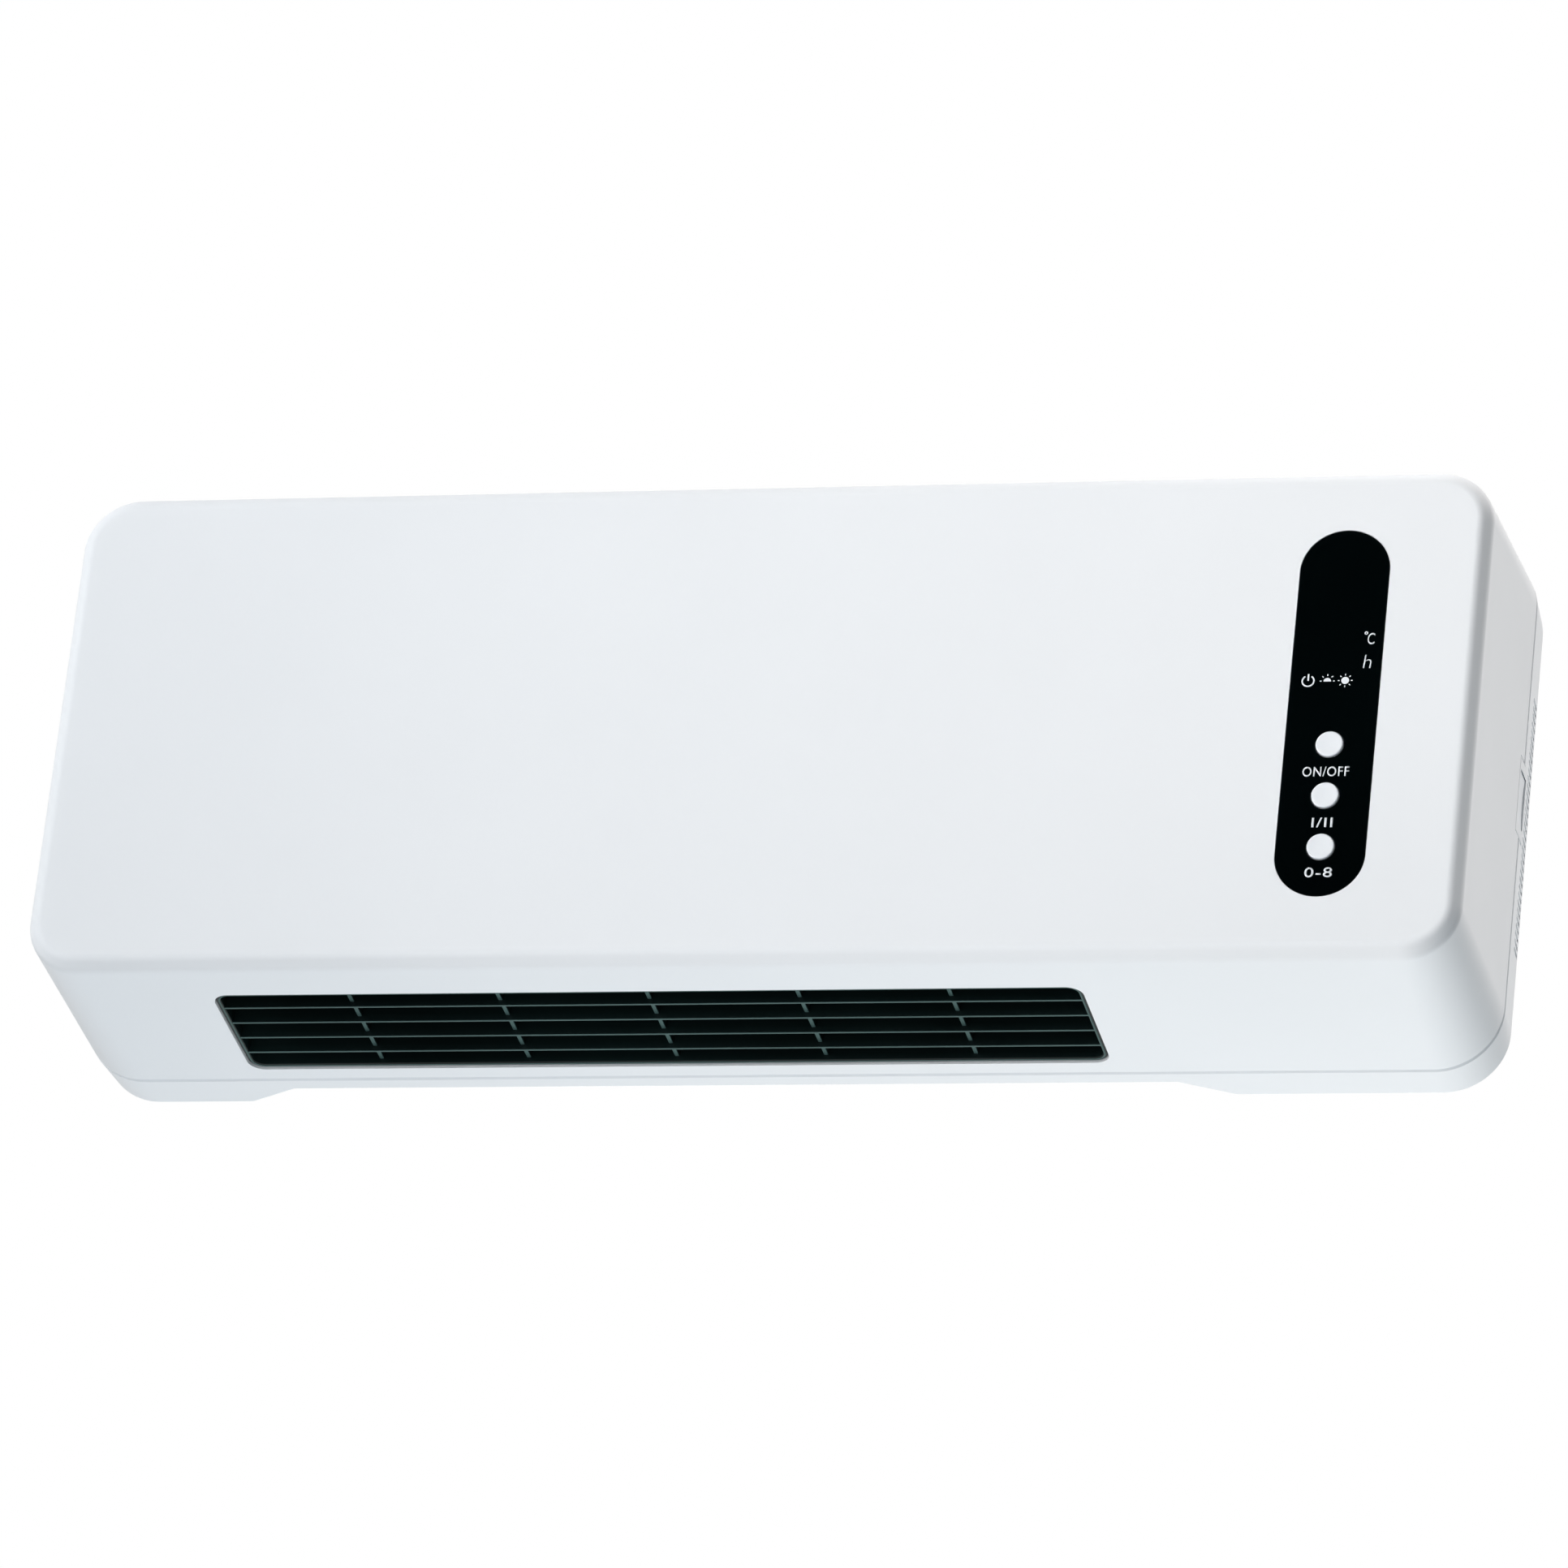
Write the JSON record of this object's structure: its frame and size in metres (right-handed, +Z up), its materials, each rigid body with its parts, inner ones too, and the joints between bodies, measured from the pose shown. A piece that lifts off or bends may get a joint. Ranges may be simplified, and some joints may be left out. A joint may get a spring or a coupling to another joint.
{
  "type": "bathroom wall fan heater",
  "caption": "Wall-hung fan heater: slim rounded white casing, black outlet grille underneath, button panel in front, crossflow fan and finned ceramic heating elements inside.",
  "frame": {"origin": "middle of the hanging line between the two keyholes, on the wall plane (flat back of the rear cover)", "axes": "+X to the right seen from the room, +Y into the wall, +Z up; the outlet grille faces down"},
  "size_m": [0.5324, 0.1088, 0.2108],
  "materials": {
    "white_shell": "glossy moulded white plastic",
    "white_button": "glossy white plastic",
    "black_grille": "fine matt black plastic",
    "black_lens": "smooth gloss black plastic",
    "dark_plastic": "matt",
    "smoked_plastic": "smoked, glossy",
    "clear_white": "milky translucent plastic",
    "green_board": "solder-masked board",
    "blue_case": "moulded case",
    "ceramic_white": "unglazed heat-resistant moulding",
    "yellow_case": "moulded case",
    "rotor_plastic": "glass-filled plastic, matt",
    "duct_plastic": "heat-resistant plastic, matt",
    "black_rubber": "matt rubber",
    "steel": "zinc plated",
    "stator_steel": "stacked laminations",
    "bronze": "sintered, oiled",
    "copper": "taped enamelled winding",
    "cast_metal": "die cast",
    "aluminium_fins": "plain sheet",
    "lead_white": "silicone sleeve",
    "lead_red": "silicone sleeve"
  },
  "bodies": {
    "casing": {"front_casing": "white_shell", "rear_cover": "white_shell", "main_switch_housing": "white_shell", "outlet_grille": "black_grille", "control_panel_lens": "black_lens", "power_tact_switch": "dark_plastic", "mode_tact_switch": "dark_plastic", "timer_tact_switch": "dark_plastic", "led_display": "smoked_plastic", "ir_receiver": "smoked_plastic", "indicator_light_guide": "clear_white", "control_board": "green_board", "power_board": "green_board", "relay_low": "blue_case", "relay_high": "blue_case", "terminal_block": "ceramic_white", "suppression_capacitor": "yellow_case", "bearing_bush": "bronze", "bearing_rubber_mount": "black_rubber", "fan_scroll": "duct_plastic", "fan_tongue": "duct_plastic", "left_end_plate": "duct_plastic", "right_end_plate": "duct_plastic", "heater_element_front": "aluminium_fins", "heater_element_rear": "aluminium_fins", "heater_bracket_left": "ceramic_white", "heater_bracket_right": "ceramic_white", "thermal_cutout": "ceramic_white", "thermal_fuse": "lead_white", "motor_stator": "stator_steel", "motor_coil": "copper", "motor_bracket_inner": "cast_metal", "motor_bracket_outer": "cast_metal", "cord_gland": "black_rubber", "control_ribbon": "lead_white", "motor_lead": "lead_white", "heater_lead": "lead_red", "switch_lead": "lead_red", "case_screw_1": "steel", "case_screw_2": "steel", "case_screw_3": "steel", "case_screw_4": "steel", "control_board_screw_1": "steel", "power_board_screw_1": "steel", "end_plate_screw_1": "steel", "control_board_screw_2": "steel", "power_board_screw_2": "steel", "end_plate_screw_2": "steel"},
    "fan": {"fan_rotor": "rotor_plastic", "fan_hub": "black_rubber", "fan_stub_shaft": "steel", "motor_rotor": "steel"},
    "power_key": {"power_button": "white_button", "power_plunger": "dark_plastic"},
    "mode_key": {"mode_button": "white_button", "mode_plunger": "dark_plastic"},
    "timer_key": {"timer_button": "white_button", "timer_plunger": "dark_plastic"},
    "switch_key": {"main_switch_rocker": "white_button"}
  },
  "joints": [
    {"name": "fan_spin", "type": "hinge", "parent": "casing", "child": "fan", "pos_m": [-0.0365, -0.05405, -0.06398], "axis": [1, 0, 0], "continuous": true},
    {"name": "power_press", "type": "slide", "parent": "casing", "child": "power_key", "axis": [0, 1, 0], "range_m": [0, 0.0008], "stiffness_N_per_m": 400},
    {"name": "mode_press", "type": "slide", "parent": "casing", "child": "mode_key", "axis": [0, 1, 0], "range_m": [0, 0.0008], "stiffness_N_per_m": 400},
    {"name": "timer_press", "type": "slide", "parent": "casing", "child": "timer_key", "axis": [0, 1, 0], "range_m": [0, 0.0008], "stiffness_N_per_m": 400},
    {"name": "switch_rock", "type": "hinge", "parent": "casing", "child": "switch_key", "pos_m": [0.2558, -0.022, -0.073], "axis": [0, -1, 0], "range_deg": [0, 14]}
  ]
}
